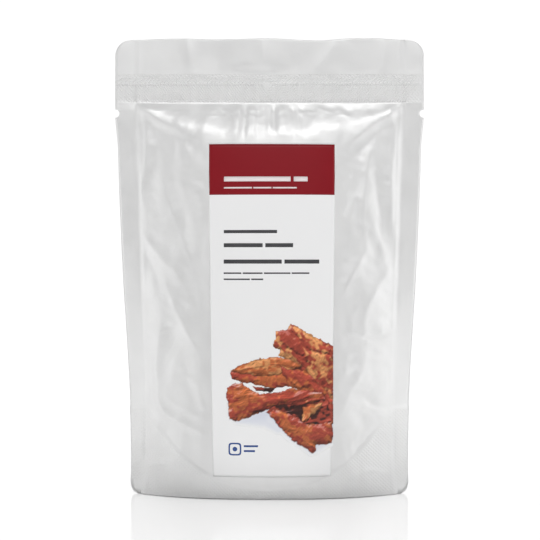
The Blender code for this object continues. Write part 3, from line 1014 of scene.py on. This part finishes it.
def pictureMaterial():
    material, shader = newMaterial("pictureInk", (0.5, 0.2, 0.1), 0.38)
    links = material.node_tree.links
    ink = addNode(material, "ShaderNodeAttribute", attribute_name="ink")
    speck = addNode(material, "ShaderNodeMix", data_type="RGBA", blend_type="MULTIPLY")
    sockets = [socket for socket in speck.inputs if socket.type == "RGBA"]
    amount = addNode(material, "ShaderNodeMath", operation="MULTIPLY")
    amount.inputs[1].default_value = 0.30
    links.new(ink.outputs["Alpha"], amount.inputs[0])
    links.new(amount.outputs[0], speck.inputs[0])
    links.new(ink.outputs["Color"], sockets[0])
    links.new(tinted(material, noiseOn(material, 1500, 3), (0.55, 0.50, 0.48), (1, 1, 1)), sockets[1])
    links.new(next(socket for socket in speck.outputs if socket.type == "RGBA"), shader.inputs["Base Color"])
    links.new(rangeOf(material, noiseOn(material, 500), 0.33, 0.44), shader.inputs["Roughness"])
    return material


def powderMaterial():
    material, shader = newMaterial("groundMushroom", (0.25, 0.13, 0.07), 0.95)
    links = material.node_tree.links
    brown = tinted(material, noiseOn(material, 900, 6), (0.13, 0.06, 0.03), (0.42, 0.25, 0.14))
    links.new(brown, shader.inputs["Base Color"])
    normal = bumped(material, noiseOn(material, 1600, 5), 0.0006, 0.9)
    links.new(bumped(material, noiseOn(material, 220, 4), 0.0018, 0.6, normal), shader.inputs["Normal"])
    return material


# ---- stage
stage = {
    "cameraDistance": 0.70,
    "cameraHeight": 0.109,
    "cameraLens": 96.0,
    "skyStrength": 0.51,
    "sideWatts": (0.31, 0.46),  # left, right
    "keyWatts": 1.45,
    "highWatts": 0.46,
    "floorSize": 12.0,
    "floorWhite": 0.90,
    "floorRoughness": 0.12,
    "floorGlow": 0.24,
    "wallStrength": 1.05,
    "bounceGlow": 1.18,  # light thrown up from the table
    "frontCard": (1.5, 0.25),  # black cards out of sight: width and height of the one round the camera
    "footCard": (0.17, 0.060),  # and of the one under the bag, which is painted shade: a black sheet standing in for the shaded floor round the foot, seen only by the bag's bounce and reflection rays
}


def areaLight(name, place, target, width, height, watts):
    lamp = bpy.data.lights.new(name, "AREA")
    lamp.shape = "RECTANGLE"
    lamp.size, lamp.size_y = width, height
    lamp.energy = watts
    holder = linked(name, lamp)
    holder.location = place
    holder.rotation_euler = (Vector(target) - Vector(place)).to_track_quat("-Z", "Y").to_euler()
    holder.visible_camera = False


def stagePiece(name, mesh, material, unseenBy=()):
    data = bpy.data.meshes.new(name)
    mesh.to_mesh(data)
    mesh.free()
    data.materials.append(material)
    piece = linked(name, data)
    for ray in unseenBy:
        setattr(piece, "visible_" + ray, False)


def buildStage():
    scene = bpy.context.scene
    scene.view_settings.view_transform = "Standard"
    camera = bpy.data.cameras.new("camera")
    camera.lens = stage["cameraLens"]
    eye = linked("camera", camera)
    eye.location = (0.00025, -stage["cameraDistance"], stage["cameraHeight"])
    eye.rotation_euler = (math.radians(90), 0, 0)
    scene.camera = eye

    world = bpy.data.worlds.new("studio")
    scene.world = world
    world.use_nodes = True
    world.node_tree.nodes["Background"].inputs[0].default_value = (1, 1, 1, 1)
    world.node_tree.nodes["Background"].inputs[1].default_value = stage["skyStrength"]

    left, right = stage["sideWatts"]
    areaLight("leftBox", (-0.60, -0.12, 0.17), (0, 0, 0.11), 0.26, 0.60, left)
    areaLight("rightBox", (0.60, -0.14, 0.17), (0, 0, 0.11), 0.26, 0.60, right)
    areaLight("highBox", (0, -0.95, 0.44), (0, 0, 0.2), 0.9, 0.2, stage["highWatts"])
    areaLight("keyBox", (0.06, -0.58, 0.72), (0, 0, 0.06), 0.50, 0.25, stage["keyWatts"])

    black, shader = newMaterial("blackCard", (0.02, 0.02, 0.02), 1.0)
    for name, (width, depth), place, tilt in (
        ("frontCard", stage["frontCard"], (0, -0.9, 0.12), 90),
        # the card under the bag is painted shade: it stands in for the floor's shade round the foot, so the
        # skirt's bounce rays come back dark
        ("footCard", stage["footCard"], (0, 0, -0.0005), 0),
    ):
        mesh = bmesh.new()
        bmesh.ops.create_grid(mesh, x_segments=1, y_segments=1, size=0.5)
        bmesh.ops.scale(mesh, vec=(width, depth, 1), verts=mesh.verts)
        bmesh.ops.rotate(mesh, verts=mesh.verts, matrix=Matrix.Rotation(math.radians(tilt), 3, "X"))
        bmesh.ops.translate(mesh, verts=mesh.verts, vec=place)
        stagePiece(name, mesh, black, ["camera", "shadow"])

    glow, shader = newMaterial("bounceWhite", (0, 0, 0), 1.0)
    shader.inputs["Emission Color"].default_value = (1, 1, 1, 1)
    shader.inputs["Emission Strength"].default_value = stage["bounceGlow"]
    mesh = bmesh.new()
    bmesh.ops.create_grid(mesh, x_segments=1, y_segments=1, size=2)
    bmesh.ops.translate(mesh, verts=mesh.verts, vec=(0, 0, -0.002))
    stagePiece("bounceCard", mesh, glow, ["camera", "glossy", "shadow"])

    half = stage["floorSize"] / 2
    material, shader = newMaterial("floorWhite", (stage["floorWhite"],) * 3, stage["floorRoughness"])
    shader.inputs["Emission Color"].default_value = (1, 1, 1, 1)
    shader.inputs["Emission Strength"].default_value = stage["floorGlow"]
    mesh = bmesh.new()
    bmesh.ops.create_grid(mesh, x_segments=1, y_segments=1, size=half)
    stagePiece("studioFloor", mesh, material, ["diffuse"])

    material, shader = newMaterial("wallWhite", (0, 0, 0), 1.0)
    shader.inputs["Emission Color"].default_value = (1, 1, 1, 1)
    shader.inputs["Emission Strength"].default_value = stage["wallStrength"]
    for name, start, unseenBy in (
        ("rearWall", 0, ["diffuse", "shadow"]),
        ("frontWall", 180, ["diffuse", "glossy", "shadow"]),
    ):
        mesh = bmesh.new()
        edge = []
        for step in range(33):
            angle = math.radians(start + 180 * step / 32)
            x, y = half * 0.98 * math.cos(angle), half * 0.98 * math.sin(angle)
            edge.append((mesh.verts.new((x, y, -0.01)), mesh.verts.new((x, y, 4))))
        for (a, b), (c, d) in zip(edge[:-1], edge[1:]):
            mesh.faces.new((c, a, b, d))
        stagePiece(name, mesh, material, unseenBy)


print("stage")
buildStage()

print("film")
white = filmMaterial()
frontFilm = buildFilm("frontFilm", -1, white)
backFilm = buildFilm("backFilm", 1, white)
gussetFilm = gridPiece("gussetFilm", gussetPoints())
thicken(gussetFilm, pouch["film"])
gussetFilm.modifiers["thickness"].offset = 0
gussetFilm.data.materials.append(white)
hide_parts("front_panel")
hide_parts("back_panel")
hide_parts("bottom_gusset")
for piece in (frontFilm, backFilm, gussetFilm):
    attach(piece, "root")

print("ribs in the top seal")
tree = ribTree()
for side, film in ((-1, frontFilm), (1, backFilm)):
    for field in ribFields:
        ribs = buildRibs(field, film, side, tree, white)
        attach(ribs, "root")

print("label")
paperLabel = buildLabel(paperMaterial())
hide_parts("front_label")
redInk = inkMaterial("redInk", (0.245, 0.001, 0.008), (0.225, 0.001, 0.007))
greyInk = inkMaterial("greyInk", (0.045, 0.045, 0.05), (0.07, 0.07, 0.075))
paleInk = inkMaterial("paleInk", (0.85, 0.80, 0.80), (0.80, 0.72, 0.72))
blueInk = inkMaterial("blueInk", (0.03, 0.075, 0.26), (0.05, 0.10, 0.30))
edge = label["middle"] - label["topWidth"] / 2
bandEnd = edge + label["topWidth"] - 0.5
prints = [
    printed("redBand", block(edge + 0.5, bandEnd, 144.9, label["top"] - 0.45), 0.03, redInk),
    printed("bandBars", bars(dummyLines["band"]), 0.06, paleInk),
    printed("textBars", bars(dummyLines["text"]), 0.03, greyInk),
    printed("blueBars", bars(dummyLines["blue"]), 0.03, blueInk),
    printed("blueFrame", frameMark(-19.2, 21.6, 6.0, 0.7), 0.03, blueInk),
    buildPicture(pictureMaterial()),
]
for piece in (paperLabel, *prints):
    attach(piece, "root")

print("ground mushroom")
powder = buildPowder(powderMaterial())
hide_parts("powder_fill")
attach(powder, "root")
